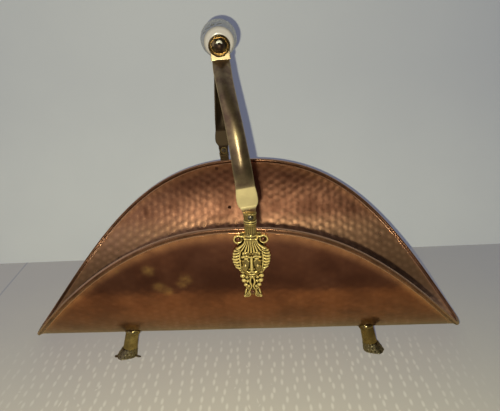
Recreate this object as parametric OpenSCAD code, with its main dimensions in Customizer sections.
// Log holder: a hammered copper trough on four cast feet, with a cast mask
// riveted to each side and a swinging bail with a porcelain grip.
// X runs along the trough, Y across it from front to back, Z up.
// The origin is on the floor, under the middle of the trough.

/* [Trough] */
// Length of the trough from tip to tip
trough_len = 532; // [440:2:640]
// Width of the trough across its two rims, outside the sheet
trough_w = 262; // [230:2:300]
// Height of the rims above the keel
trough_h = 179.5; // [165:0.5:200]
// Height of the keel above the floor
keel_clear = 13; // [10:1:24]
// Thickness of the copper sheet
sheet_t = 1.2; // [0.8:0.1:1.6]
// How square the rim line is, seen from the front
rim_square = 2.34; // [2.2:0.02:2.6]
// How sharply the rim line meets the tips
rim_tip = 1.08; // [1:0.01:1.15]
// How upright the walls are near the rim
wall_upright = 2; // [1.8:0.05:2.4]
// How tight the bend of the keel is
keel_bend = 0.62; // [0.56:0.01:0.7]

/* [Rolled rim] */
// Outer diameter of the rolled rim
roll_d = 4.4; // [3.6:0.1:5]
// Diameter of the stiffening wire inside the roll
wire_d = 2.4; // [1.8:0.1:2.6]
// Clearance between the wire and the roll
wire_gap = 0.15; // [0.1:0.05:0.3]
// Clearance between the roll and the edge of the sheet
roll_gap = 0.35; // [0.3:0.05:0.5]

/* [Masks] */
// Distance of the front mask from the middle of the trough
front_mask_x = 11; // [-10:0.5:20]
// Distance of the rear mask from the middle of the trough
rear_mask_x = -29.5; // [-35:0.5:20]
// Turn of the rear mask in its own plane
rear_mask_turn = 4; // [0:0.5:6]
// Thickness of the cast plate behind the face
plate_t = 2.6; // [2.2:0.1:3.2]
// Clearance between a mask or a foot and the sheet
seat_gap = 0.05; // [0.03:0.01:0.1]
// Diameter of the column above the mask
column_d = 12.8; // [12:0.2:14]
// Height of the column's top above the pivot
column_rise = 4.6; // [4:0.1:6]
// Diameter of the mask rivets
rivet_d = 3; // [2.4:0.1:3.4]
// Diameter of the mask rivets' heads
rivet_head_d = 5.2; // [4.6:0.1:5.6]

/* [Pivots] */
// Height of the pivot above the rim of the sheet
pivot_rise = 17.5; // [17:0.5:20]
// Diameter of the pivot rivets
pivot_d = 4; // [3:0.1:4.6]
// Running clearance of a strap on its pivot rivet, on the radius
pivot_fit = 0.05; // [0.03:0.01:0.1]
// Clearance on each flat side of a strap at the pivot
pivot_side_gap = 0.15; // [0.1:0.05:0.3]
// Diameter of the washers behind the straps
washer_d = 9; // [8:0.2:11]
// Thickness of those washers
washer_t = 1; // [0.8:0.1:1.4]

/* [Straps] */
// Thickness of the straps
strap_t = 1.8; // [1.4:0.1:2.2]
// Width of a strap at the middle of its channel
strap_w = 15.8; // [14:0.2:18]
// Greatest width of the flat plate at a strap's lower end
flare_w = 21.4; // [20:0.2:23]
// Distance from the pivot to the crease where the channel begins
crease_rise = 29; // [26:0.5:34]
// Rise of the channel's crown above its edges
channel_crown = 4.4; // [3:0.2:5.6]
// Inward bend of the flat plate
plate_bend = 7; // [0:0.5:12]
// Sideways lean of the front strap
front_lean = 6; // [0:0.5:8]
// Sideways lean of the rear strap
rear_lean = 1; // [0:0.5:8]

/* [Grip] */
// Length of the porcelain grip
grip_len = 116; // [90:1:126]
// Greatest diameter of the grip
grip_d = 40; // [34:0.5:44]
// Diameter of the grip's end faces
grip_end_d = 29.6; // [26:0.2:32]
// Height of the grip's axis above the pivots
grip_rise = 162; // [145:1:180]
// Sideways place of the middle of the grip
grip_x = -20; // [-25:0.2:10]
// Turn of the grip, seen from above
grip_skew = 4; // [0:0.5:9]
// Diameter of the rod through the grip
rod_d = 6; // [5:0.1:7]
// Running clearance of the grip on its rod, on the radius
rod_fit = 0.1; // [0.05:0.01:0.1]
// Thickness of the collars between grip and tabs
collar_t = 1.2; // [0.8:0.1:2]
// Diameter of the brass rosettes
rosette_d = 22.4; // [20:0.2:26]
// Thickness of the rosettes
rosette_t = 5.4; // [4:0.2:7]
// Diameter of the cap nuts
nut_d = 9; // [8.6:0.1:10.4]
// Height of the cap nuts
nut_t = 5; // [4:0.2:7]

/* [Feet] */
// Distance of the feet from the middle, along the trough
foot_x = 142.5; // [120:0.5:165]
// Distance of the feet from the middle, across the trough
foot_y = 48; // [40:0.5:54]
// Splay of the feet along the trough
foot_splay_x = 12; // [6:0.5:16]
// Splay of the feet across the trough
foot_splay_y = 3; // [0:0.5:12]
// Diameter of a foot's stem under its collar
stem_d = 16; // [14:0.2:17]
// Diameter of the stem above the paw
ankle_d = 17.6; // [15:0.2:18]
// Height of the paw
paw_h = 12.5; // [10:0.5:14]
// Diameter of the feet's rivets
foot_rivet_d = 4; // [3:0.1:5]

/* [Hidden] */
$fn = 48;

FRONT = -1;
REAR = 1;
LEFT = -1;
RIGHT = 1;

half_len = trough_len / 2;
half_w = trough_w / 2;
rim_z = keel_clear + trough_h;
pivot_z = rim_z + pivot_rise;
grip_z = pivot_z + grip_rise;
far = trough_len;

// Vector helpers
function unit(v) = v / norm(v);
function mix(a, b, t) = a + (b - a) * t;

// Rim line and cross-section of the trough.  The rim follows a rounded arch,
// and the wall follows a curve that is round at the keel and upright at the
// rim.  The profile's parameter u runs from -1 at the front rim to 1 at the
// rear one.
function rim_share(x) =
    pow(max(0, 1 - pow(min(1, abs(x) / half_len), rim_square)), rim_tip);
function wall_y(share) =
    half_w * pow(1 - pow(1 - share, wall_upright), keel_bend);
function profile(u) = [sign(u) * wall_y(u * u), keel_clear + trough_h * u * u];
profile_step = 0.002;
function profile_dir(u) =
    let (lo = max(-1, u - profile_step), hi = min(1, u + profile_step))
    unit(profile(hi) - profile(lo));
function profile_out(u) = let (d = profile_dir(u)) [d[1], -d[0]];
function profile_at(u, offset) = profile(u) + offset * profile_out(u);
function u_at_height(z) = sqrt(min(1, max(0, (z - keel_clear) / trough_h)));
function wall_at_height(z) =
    wall_y(min(1, max(0, (z - keel_clear) / trough_h)));

profile_parts = 44;
function profile_line(offset) =
    [for (i = [-profile_parts / 2 : profile_parts / 2])
        profile_at(2 * i / profile_parts, offset)];
function reversed(list) = [for (i = [len(list) - 1 : -1 : 0]) list[i]];

// Stations along the rim, used by the sheet's outline and by the roll
rim_parts = 96;
rim_turn = 360 / rim_parts;
function rim_x(angle) = half_len * cos(angle);
function rim_u(angle) =
    (sin(angle) < 0 ? -1 : 1) * sqrt(rim_share(rim_x(angle)));
function rim_point(angle) =
    let (p = profile_at(rim_u(angle), -sheet_t / 2)) [rim_x(angle), p[0], p[1]];
function rim_out(angle) =
    let (n = profile_out(rim_u(angle))) [0, n[0], n[1]];
function rim_dir(angle) = unit(rim_point(angle + 1) - rim_point(angle - 1));
function rim_up(angle) = unit(cross(rim_out(angle), rim_dir(angle)));

// Lays a flat (y, z) drawing out along X
module along_x(length) {
    rotate([90, 0, 90])
        linear_extrude(height = length, center = true) children();
}

// Lays a flat (x, z) drawing out along Y
module along_y(length) {
    rotate([90, 0, 0])
        linear_extrude(height = length, center = true) children();
}

// Everything inside the trough's profile, moved outwards by offset
module within_profile(offset) {
    line = profile_line(offset);
    last = line[len(line) - 1];
    along_x(far + 40)
        polygon(concat([[-last[0], far]], line, [[last[0], far]]));
}

// A strip that follows the profile between two offsets
module profile_strip(inner, outer, length) {
    along_x(length)
        polygon(concat(profile_line(outer), reversed(profile_line(inner))));
}

// A closed tube round the rim, seated on the edge of the sheet
module rim_tube(radius, sides) {
    lift = roll_gap + roll_d / 2;
    points = [for (i = [0 : rim_parts - 1], k = [0 : sides - 1])
        let (a = i * rim_turn, b = 360 * k / sides)
        rim_point(a) + lift * rim_up(a)
            + radius * (cos(b) * rim_out(a) + sin(b) * rim_up(a))];
    faces = [for (i = [0 : rim_parts - 1], k = [0 : sides - 1])
        let (i2 = (i + 1) % rim_parts, k2 = (k + 1) % sides)
        [i * sides + k, i * sides + k2, i2 * sides + k2, i2 * sides + k]];
    polyhedron(points, faces);
}

roll_sides = 8;
roll_bore = wire_d + 2 * wire_gap + roll_d * (1 - cos(180 / roll_sides));

module rim_roll() {
    color("rosybrown") difference() {
        rim_tube(roll_d / 2, roll_sides);
        rim_tube(roll_bore / 2, roll_sides);
    }
}

module rim_wire() {
    color("dimgray") rim_tube(wire_d / 2, roll_sides);
}

// Fasteners of the sheet: places on a mask are measured from its pivot
volute_x = 12.6;
volute_z = -24.4;
volute_r = 6.3;
front_tail_z = -90.5;
rear_tail_z = -80;
function tail_rivet_z(side) = side == FRONT ? front_tail_z : rear_tail_z;
function mask_rivets(side) =
    [[-volute_x, volute_z], [volute_x, volute_z], [0, tail_rivet_z(side)]];
rivet_gap = 0.05;

function mask_x(side) = side == FRONT ? front_mask_x : rear_mask_x;
function mask_turn(side) = side == FRONT ? 0 : rear_mask_turn;

// The mask's own frame: x to a viewer's right, -y towards the viewer, and
// the origin on the outside of the wall, at the height of the pivot
module mask_frame(side) {
    translate([mask_x(side), side * half_w, pivot_z])
        rotate([0, mask_turn(side), side == FRONT ? 0 : 180])
        children();
}

// The feet are riveted on a little to the right of the middle
foot_shift = 2.9;
module place_foot(sx, sy) {
    translate([sx * foot_x + foot_shift, sy * foot_y, foot_seat_z])
        rotate([sy * foot_splay_y, -sx * foot_splay_x, 0]) children();
}

// Share of the height at which the profile is foot_y away from the middle
foot_share = 1 - pow(1 - pow(foot_y / half_w, 1 / keel_bend), 1 / wall_upright);
foot_seat_z = keel_clear + trough_h * foot_share;

module trough() {
    color("peru") difference() {
        intersection() {
            profile_strip(-sheet_t, 0, far + 20);
            along_y(far) polygon(concat(
                [for (i = [0 : rim_parts / 2]) let (x = rim_x(i * rim_turn))
                    [x, keel_clear + trough_h * rim_share(x)]],
                [[-half_len, 0], [half_len, 0]]));
        }
        for (side = [FRONT, REAR]) mask_frame(side)
            for (place = mask_rivets(side))
                translate([place[0], 0, place[1]]) rotate([90, 0, 0])
                cylinder(d = rivet_d + 2 * rivet_gap, h = half_w, center = true);
        for (sx = [LEFT, RIGHT], sy = [FRONT, REAR]) place_foot(sx, sy)
            cylinder(d = foot_rivet_d + 2 * rivet_gap, h = 30, center = true);
    }
}

// Hinge line through the two pivots
pivot_back = 2;
pivot_y = half_w + pivot_back;
hinge_skew = atan2(front_mask_x - rear_mask_x, 2 * pivot_y);
hinge_dir = [-sin(hinge_skew), cos(hinge_skew), 0];
hinge_side = [cos(hinge_skew), sin(hinge_skew), 0];

function pivot_point(side) = [mask_x(side), side * pivot_y, pivot_z];

// The pivot's own frame: -y points out of the trough along the hinge line
module pivot_frame(side) {
    translate(pivot_point(side))
        rotate([0, 0, hinge_skew + (side == FRONT ? 0 : 180)]) children();
}

// A round bar that starts at y = from and runs to y = to
module bar(d, from, to) {
    translate([0, from, 0]) rotate([-90, 0, 0]) cylinder(d = d, h = to - from);
}

// Column: its back clears the rolled rim, and its head carries the pivot
column_r = column_d / 2;
column_foot = -22;
column_neck = -8.3;
ring_places = [-4.2, -17];
ring_r = 0.6;
flutes = 7;
flute_d = 1.6;
spot_d = 6.4;
spot_depth = 0.8;
pivot_head_y = -column_r + spot_depth;

module column(side) {
    difference() {
        union() {
            translate([0, -pivot_back, column_foot])
                cylinder(d = column_d, h = column_rise - column_foot - 3);
            translate([0, -pivot_back, column_rise - 6])
                cylinder(d1 = column_d, d2 = column_d + 1.4, h = 6);
            for (z = ring_places) translate([0, -pivot_back, z])
                rotate_extrude() translate([column_r, 0]) circle(r = ring_r, $fn = 16);
        }
        translate([-column_d, -pivot_back, column_foot - 1])
            cube([2 * column_d, column_d, column_neck - column_foot + 1]);
        for (i = [0 : flutes - 1]) rotate_about([0, -pivot_back],
                                                (i - (flutes - 1) / 2) * 24)
            translate([0, -pivot_back - column_r - 0.2, ring_places[1] + 1.6])
            cylinder(d = flute_d, h = ring_places[0] - ring_places[1] - 3.2,
                     $fn = 16);
    }
}

module rotate_about(centre, angle) {
    translate(concat(centre, 0)) rotate([0, 0, angle])
        translate(concat(-centre, 0)) children();
}

// Half width of the mask's plate, from the volutes to the tip of the leaves
tip_z = -99.5;
plate_top_z = -17.6;
plate_outline = [[plate_top_z, 9], [-22, 12], [-30, 14], [-36, 16.4],
                 [-44, 17.3], [-52, 16.6], [-60, 14], [-68, 12], [-76, 10.6],
                 [-84, 8.6], [-90, 7.4], [-94, 8.2], [tip_z, 6.6]];
plate_heights = reversed(plate_outline);

module plate_shape() {
    polygon(concat([for (p = plate_outline) [p[1], p[0]]],
                   [for (p = plate_heights) [-p[1], p[0]]]));
}

face_z = -45;
face_r = 10.6;
face_h = 16;
face_sink = 4.4;
mane_rays = 7;
beard_rows = 4;

// Depth of the wall behind a place on the mask, seen from the rim
function wall_back(z) = half_w - wall_at_height(pivot_z + z);

module on_wall(x, z, rise) {
    translate([x, wall_back(z) - plate_t - rise, z]) children();
}

module volute(x) {
    on_wall(x, volute_z, 0) rotate([90, 0, 0]) {
        translate([0, 0, -plate_t]) cylinder(r = volute_r, h = plate_t + 0.6);
        rotate_extrude() translate([volute_r - 1.5, 0.6]) circle(r = 1.5, $fn = 20);
    }
}

module face() {
    on_wall(0, face_z, -face_sink) rotate_extrude()
        polygon([for (i = [0 : 16]) let (a = -90 + 180 * i / 16)
            [face_r * cos(a), face_h * sin(a)]]);
    on_wall(0, face_z + 2, face_r - face_sink - 0.6) rotate([14, 0, 0])
        translate([0, 0, -9]) cylinder(r1 = 2.8, r2 = 1.2, h = 11, $fn = 24);
    for (x = [-1, 1]) on_wall(x * 4.6, face_z + 3, face_r - face_sink - 3.4)
        sphere(r = 2.3, $fn = 24);
    on_wall(0, face_z - 12, 1.2) sphere(r = 3, $fn = 24);
}

module mane() {
    for (x = [-1, 1], i = [0 : mane_rays - 1])
        let (a = 66 - i * 19, z = face_z + 15.5 * sin(a))
        on_wall(x * 11.5 * cos(a), z, -0.6) rotate([0, x * (90 - a), 0])
        cylinder(r1 = 2.5, r2 = 1.5, h = 5, $fn = 20);
}

module beard() {
    for (row = [0 : beard_rows - 1], x = [-1, 1])
        let (z = face_z - 17 - row * 7, spread = 7.6 - row * 1.1)
        on_wall(x * spread, z, 0) sphere(r = 3 - row * 0.2, $fn = 24);
    for (row = [0 : beard_rows - 2])
        on_wall(0, face_z - 19.5 - row * 7, -0.4)
        sphere(r = 2.6, $fn = 24);
    for (x = [-1, 1]) on_wall(x * 4.6, tip_z + 4, -0.8)
        rotate([0, x * 140, 0]) cylinder(r1 = 2, r2 = 1.2, h = 4, $fn = 20);
}

// The cast mask, with its back shaped to the wall
module mask(side) {
    bore = pivot_d + 2 * rivet_gap;
    difference() {
        union() {
            intersection() {
                within_profile(plate_t);
                mask_frame(side) along_y(2 * half_w) plate_shape();
                translate([-far, side == FRONT ? -far : 0, 0])
                    cube([2 * far, far, 2 * far]);
            }
            mask_frame(side) {
                column(side);
                for (x = [-volute_x, volute_x]) volute(x);
                face();
                mane();
                beard();
            }
        }
        within_profile(seat_gap);
        mask_frame(side) for (place = mask_rivets(side)) {
            seat = wall_back(place[1]) - plate_t - rivet_seat;
            translate([place[0], 0, place[1]]) {
                bar(rivet_d + 2 * rivet_gap, -half_w / 2, half_w / 2);
                bar(rivet_head_d + 0.6, seat - 12, seat);
            }
        }
        pivot_frame(side) {
            bar(bore, -column_d, column_d);
            bar(spot_d, -column_d, pivot_head_y);
            translate([-column_d, 0, column_neck]) cube([2 * column_d, column_d, 30]);
        }
    }
}

module front_mask() { color("goldenrod") mask(FRONT); }
module rear_mask() { color("goldenrod") mask(REAR); }

// Mask rivets: round heads outside, heads formed against the sheet inside
rivet_seat = 0.4;
module dome(d, h) {
    r = (d * d / 4 + h * h) / (2 * h);
    intersection() {
        translate([0, 0, h - r]) sphere(r = r);
        cylinder(d = d, h = h + 1);
    }
}

tail_proud = 1.3;
module mask_rivet_set(side) {
    for (place = mask_rivets(side)) {
        wall = wall_back(place[1]);
        seat = wall - plate_t - rivet_seat;
        mask_frame(side) translate([place[0], 0, place[1]]) {
            translate([0, seat - rivet_gap, 0]) rotate([90, 0, 0])
                dome(rivet_head_d, 1.9);
            bar(rivet_d, seat - rivet_gap - 0.2, wall + sheet_t + 0.6);
        }
        intersection() {
            within_profile(-sheet_t - seat_gap);
            mask_frame(side) translate([place[0], wall + sheet_t, place[1]])
                bar(rivet_head_d - 0.6, -3, tail_proud);
        }
    }
}

module front_mask_rivets() { color("sienna") mask_rivet_set(FRONT); }
module rear_mask_rivets() { color("sienna") mask_rivet_set(REAR); }

// Pivot stack along the hinge line, from the column inwards
strap_back = pivot_side_gap + strap_t;
washer_back = strap_back + pivot_side_gap + washer_t;
pivot_tail_d = 7;
pivot_tail_t = 1.6;

module pivot_rivet(side) {
    color("darkgoldenrod") pivot_frame(side) {
        bar(pivot_d, pivot_head_y - 0.5, washer_back + pivot_tail_t);
        translate([0, pivot_head_y - rivet_gap, 0]) rotate([90, 0, 0])
            dome(spot_d - 0.4, 1.4);
        translate([0, washer_back + rivet_gap, 0]) rotate([-90, 0, 0])
            dome(pivot_tail_d, pivot_tail_t);
    }
}

module front_pivot_rivet() { pivot_rivet(FRONT); }
module rear_pivot_rivet() { pivot_rivet(REAR); }

module pivot_washer(side) {
    color("darkkhaki") pivot_frame(side) difference() {
        bar(washer_d, washer_back - washer_t, washer_back);
        bar(pivot_d + 2 * pivot_fit, 0, 2 * washer_back);
    }
}

module front_pivot_washer() { pivot_washer(FRONT); }
module rear_pivot_washer() { pivot_washer(REAR); }

// Straps: each is swept along its own line, from the round end below the
// pivot, up the flat plate, along the arched channel and up the tab
up_z = [0, 0, 1];
grip_dir = [-sin(grip_skew), cos(grip_skew), 0];
grip_side = [cos(grip_skew), sin(grip_skew), 0];
grip_centre = [grip_x, 0, grip_z];
bail_lean = (front_lean + rear_lean) / 2;

neck_r = 6.2;
plate_start = 7;
tab_drop = 17;
tab_w = 20.4;
tab_r = 9.6;
arch_leave = 3;
arch_arrive = 58;
arch_reach_low = 75;
arch_reach_high = 45;
arch_parts = 18;
channel_run = 0.14;
neck_gap = 0.25;

tab_in = grip_len / 2 + collar_t + 2 * neck_gap;
tab_mid = tab_in + strap_t / 2;

function strap_lean(side) = side == FRONT ? front_lean : rear_lean;
function strap_up(side) =
    cos(strap_lean(side)) * up_z - sin(strap_lean(side)) * hinge_side;
function strap_wide(side) =
    cos(strap_lean(side)) * hinge_side + sin(strap_lean(side)) * up_z;
function strap_out(side) = side * hinge_dir;
function tab_up() = cos(bail_lean) * up_z - sin(bail_lean) * grip_side;
function tab_wide() = cos(bail_lean) * grip_side + sin(bail_lean) * up_z;

// Half width of the flat plate at a distance r from the pivot
plate_widths = [[-6.2, 0.7], [-6, 1.8], [-5.4, 3.1], [-4.2, 4.6], [-2, 5.8],
                [0, 6.2], [4, 6.3], [7, 7], [9, 8.2], [11.5, 9.8], [14, 10.5],
                [17, 10.7], [22, 10.5], [26, 10], [29, 9.6]];
function plate_half(r) = lookup(r * 29 / crease_rise, plate_widths)
    * (r > plate_start ? flare_w / 21.4 : 1);

function plate_mid(side, r) =
    let (base = pivot_point(side)
             - strap_out(side) * (pivot_side_gap + strap_t / 2),
         bent = max(0, r - plate_start))
    base + strap_up(side) * (min(r, plate_start) + bent * cos(plate_bend))
        - strap_out(side) * bent * sin(plate_bend);
function plate_normal(side, r) = r > plate_start
    ? cos(plate_bend) * strap_out(side) + sin(plate_bend) * strap_up(side)
    : strap_out(side);

function tab_mid_point(side, drop) =
    grip_centre + side * tab_mid * grip_dir - drop * tab_up();

function bezier(a, b, c, d, t) =
    let (s = 1 - t)
    s * s * s * a + 3 * s * s * t * b + 3 * s * t * t * c + t * t * t * d;
function bezier_dir(a, b, c, d, t) =
    let (s = 1 - t)
    unit(s * s * (b - a) + 2 * s * t * (c - b) + t * t * (d - c));

function arch_points(side) =
    let (a = plate_mid(side, crease_rise), d = tab_mid_point(side, tab_drop))
    [a,
     a + arch_reach_low * (cos(arch_leave) * strap_up(side)
                           - sin(arch_leave) * strap_out(side)),
     d - arch_reach_high * (cos(arch_arrive) * tab_up()
                            - sin(arch_arrive) * side * grip_dir),
     d];

// One station of a strap: place, direction across, outward normal, half
// width and crown
function plate_station(side, r) =
    [plate_mid(side, r), strap_wide(side), plate_normal(side, r),
     plate_half(r), 0];
function arch_width(t) =
    lookup(t, [[0, 9.6], [0.08, 9], [0.2, 8.3], [0.45, 7.9], [0.75, 8.2], [1, 9]])
    * strap_w / 15.8;
function arch_crown(t) = channel_crown * sin(90 * min(1, t / channel_run))
    * sin(90 * min(1, (1 - t) / channel_run));
function arch_station(side, t) =
    let (p = arch_points(side),
         dir = bezier_dir(p[0], p[1], p[2], p[3], t),
         flat = mix(strap_wide(side), tab_wide(), t),
         wide = unit(flat - (flat * dir) * dir))
    [bezier(p[0], p[1], p[2], p[3], t), wide, side * cross(dir, wide),
     arch_width(t), arch_crown(t)];
function tab_half(rise) = rise < tab_drop
    ? mix(tab_w / 2, tab_r, rise / tab_drop)
    : sqrt(max(0.5, tab_r * tab_r - (rise - tab_drop) * (rise - tab_drop)));
function tab_station(side, rise) =
    [tab_mid_point(side, tab_drop - rise), tab_wide(), side * grip_dir,
     tab_half(rise), 0];

plate_stops = concat([for (w = plate_widths) w[0] * crease_rise / 29]);
tab_stops = [1.2, 6, 12, 17, 20, 22.5, 24.5, 25.8, 26.4];
function strap_stations(side) = concat(
    [for (r = plate_stops) plate_station(side, r)],
    [for (i = [1 : arch_parts]) arch_station(side, i / arch_parts)],
    [for (rise = tab_stops) tab_station(side, rise)]);

strap_cols = 8;
function station_ring(st) = concat(
    [for (k = [0 : strap_cols]) let (s = 2 * k / strap_cols - 1)
        st[0] + st[1] * st[3] * s
            + st[2] * (strap_t / 2 + st[4] * (0.6 - s * s))],
    [for (k = [strap_cols : -1 : 0]) let (s = 2 * k / strap_cols - 1)
        st[0] + st[1] * st[3] * s
            + st[2] * (-strap_t / 2 + st[4] * (0.6 - s * s))]);

module strap_body(side) {
    stations = strap_stations(side);
    size = 2 * (strap_cols + 1);
    rows = len(stations);
    points = [for (st = stations) each station_ring(st)];
    walls = [for (i = [0 : rows - 2], k = [0 : size - 1])
        let (k2 = (k + 1) % size)
        [i * size + k, i * size + k2, (i + 1) * size + k2, (i + 1) * size + k]];
    start = [for (k = [0 : strap_cols - 1])
        [k, size - 1 - k, size - 2 - k, k + 1]];
    end = [for (k = [0 : strap_cols - 1])
        let (o = (rows - 1) * size)
        [o + k, o + k + 1, o + size - 2 - k, o + size - 1 - k]];
    faces = concat(walls, start, end);
    polyhedron(points,
               side == FRONT ? faces : [for (f = faces) reversed(f)]);
}

module strap(side) {
    color("darkkhaki") difference() {
        strap_body(side);
        pivot_frame(side) bar(pivot_d + 2 * pivot_fit, -3, 6);
        grip_frame(side) bar(rod_d + 2 * rivet_gap, -tab_in - 10, -tab_in + 10);
    }
}

module front_strap() { strap(FRONT); }
module rear_strap() { strap(REAR); }

// The grip's own frame: -y points out of the bail along the grip's axis
module grip_frame(side) {
    translate(grip_centre)
        rotate([0, 0, grip_skew + (side == FRONT ? 0 : 180)]) children();
}

function grip_radius(share) =
    mix(grip_end_d / 2, grip_d / 2, pow(cos(90 * share), 0.8));

grip_parts = 24;
module grip() {
    bore_r = rod_d / 2 + rod_fit;
    half = grip_len / 2;
    color("white") grip_frame(FRONT) rotate([90, 0, 0]) rotate_extrude()
        polygon(concat(
            [[bore_r, half], [bore_r, -half]],
            [for (i = [0 : grip_parts])
                let (share = 2 * i / grip_parts - 1)
                [grip_radius(abs(share) * 0.999), half * share]]));
}

rod_end = tab_in + strap_t + rosette_t + 3.4;
module grip_rod() {
    color("gray") grip_frame(FRONT) bar(rod_d, -rod_end, rod_end);
}

module ring_on_rod(side, d, start, thickness, bore) {
    grip_frame(side) difference() {
        bar(d, -start - thickness, -start);
        bar(bore, -start - 2 * thickness, -start + thickness);
    }
}

rod_seat = rod_d + 2 * rivet_gap;
module grip_collar(side) {
    color("khaki") ring_on_rod(side, grip_end_d - 6, grip_len / 2 + neck_gap,
                               collar_t, rod_seat);
}

module front_grip_collar() { grip_collar(FRONT); }
module rear_grip_collar() { grip_collar(REAR); }

rosette_start = tab_in + strap_t + seat_gap;
module rosette(side) {
    r = rosette_d / 2;
    color("gold") grip_frame(side) translate([0, -rosette_start, 0])
        rotate([90, 0, 0]) rotate_extrude()
        polygon([[rod_seat / 2, 0], [r, 0], [r, rosette_t * 0.4],
                 [r - 0.8, rosette_t * 0.55], [r - 1.6, rosette_t * 0.35],
                 [r - 2.4, rosette_t * 0.6], [r - 3.6, rosette_t * 0.85],
                 [r - 5, rosette_t], [rod_seat / 2, rosette_t]]);
}

module front_rosette() { rosette(FRONT); }
module rear_rosette() { rosette(REAR); }

nut_start = rosette_start + rosette_t + seat_gap;
module cap_nut(side) {
    color("saddlebrown") grip_frame(side) difference() {
        translate([0, -nut_start, 0]) rotate([90, 0, 0]) dome(nut_d, nut_t);
        bar(rod_seat, -rod_end - 0.2, 0);
    }
}

module front_cap_nut() { cap_nut(FRONT); }
module rear_cap_nut() { cap_nut(REAR); }

// Feet: collar under the sheet, leaning stem, and an upright paw whose toes
// point outwards
foot_collar_t = 4.6;
foot_collar_d = stem_d + 2;
foot_bore_depth = 14;
stem_sink = 5;
toe_turn = 6;
toe_spread = 35;
toe_reach = 9.8;
toe_r = 4.8;
sole_r = ankle_d / 2 + 0.6;
flash_t = 1.2;
flash_r = 4.4;

// Where a foot's axis meets the floor, and how far that is from its seat
foot_long = foot_seat_z / (cos(foot_splay_x) * cos(foot_splay_y));
function foot_tip(sx, sy) =
    [sx * (foot_x + foot_long * cos(foot_splay_y) * sin(foot_splay_x)) + foot_shift,
     sy * (foot_y + foot_long * sin(foot_splay_y)), 0];
function toe_heading(sx, sy) = atan2(sy * sin(toe_turn), sx * cos(toe_turn));

module foot_collar(sx, sy) {
    color("darkgoldenrod") difference() {
        place_foot(sx, sy) translate([0, 0, -foot_collar_t])
            cylinder(d = foot_collar_d, h = foot_collar_t + stem_d / 2);
        within_profile(seat_gap);
        place_foot(sx, sy)
            cylinder(d = foot_rivet_d + 2 * rivet_gap, h = 60, center = true);
    }
}

module paw() {
    rotate_extrude() polygon([[0, 0.3], [sole_r, 0.3], [sole_r, paw_h * 0.5],
                              [ankle_d / 2, paw_h], [0, paw_h]]);
}

// The middle toe is a little taller and lower than the ones beside it
module toe(place) {
    high = paw_h * (0.8 - 0.06 * abs(place) - 0.02 * place);
    lift = place == 0 ? 0 : 0.1 + 0.04 * place;
    translate([0, 0, lift]) cylinder(r = toe_r, h = high / 2);
    translate([0, 0, lift + high / 2])
        cylinder(r1 = toe_r, r2 = toe_r * 0.45, h = high / 2);
}

// Thin casting flash left at the front left foot's outer and inner toes
module flash() {
    for (x = [-12.4, 12.2]) translate([x, -4.4, 0.15])
        cylinder(r = flash_r, h = flash_t);
}

module foot(sx, sy) {
    color("darkgoldenrod") difference() {
        union() {
            place_foot(sx, sy) translate([0, 0, stem_sink - foot_long])
                cylinder(d1 = ankle_d, d2 = stem_d,
                         h = foot_long - stem_sink - foot_collar_t - seat_gap);
            translate(foot_tip(sx, sy)) {
                paw();
                for (i = [-1 : 1])
                    rotate([0, 0, toe_heading(sx, sy) + i * toe_spread])
                    translate([toe_reach, 0, 0]) toe(i);
                if (sx == LEFT && sy == FRONT) flash();
            }
        }
        within_profile(seat_gap);
        place_foot(sx, sy) translate([0, 0, -foot_collar_t - foot_bore_depth])
            cylinder(d = foot_rivet_d + 2 * rivet_gap, h = 40);
    }
}

module foot_front_left() { foot(LEFT, FRONT); }
module foot_front_right() { foot(RIGHT, FRONT); }
module foot_rear_left() { foot(LEFT, REAR); }
module foot_rear_right() { foot(RIGHT, REAR); }
module foot_collar_front_left() { foot_collar(LEFT, FRONT); }
module foot_collar_front_right() { foot_collar(RIGHT, FRONT); }
module foot_collar_rear_left() { foot_collar(LEFT, REAR); }
module foot_collar_rear_right() { foot_collar(RIGHT, REAR); }

foot_rivet_head_d = 9;
foot_rivet_proud = 3.2;
module foot_rivets() {
    color("sienna") for (sx = [LEFT, RIGHT], sy = [FRONT, REAR]) {
        intersection() {
            within_profile(-sheet_t - seat_gap);
            place_foot(sx, sy) translate([0, 0, -4])
                cylinder(d = foot_rivet_head_d, h = foot_rivet_proud + 4);
        }
        place_foot(sx, sy) translate([0, 0, -foot_collar_t - foot_bore_depth + 0.5])
            cylinder(d = foot_rivet_d, h = foot_collar_t + foot_bore_depth + 2);
    }
}

trough();
rim_roll();
rim_wire();
front_mask();
rear_mask();
front_mask_rivets();
rear_mask_rivets();
front_pivot_rivet();
rear_pivot_rivet();
front_pivot_washer();
rear_pivot_washer();
front_strap();
rear_strap();
grip();
grip_rod();
front_grip_collar();
rear_grip_collar();
front_rosette();
rear_rosette();
front_cap_nut();
rear_cap_nut();
foot_front_left();
foot_front_right();
foot_rear_left();
foot_rear_right();
foot_collar_front_left();
foot_collar_front_right();
foot_collar_rear_left();
foot_collar_rear_right();
foot_rivets();
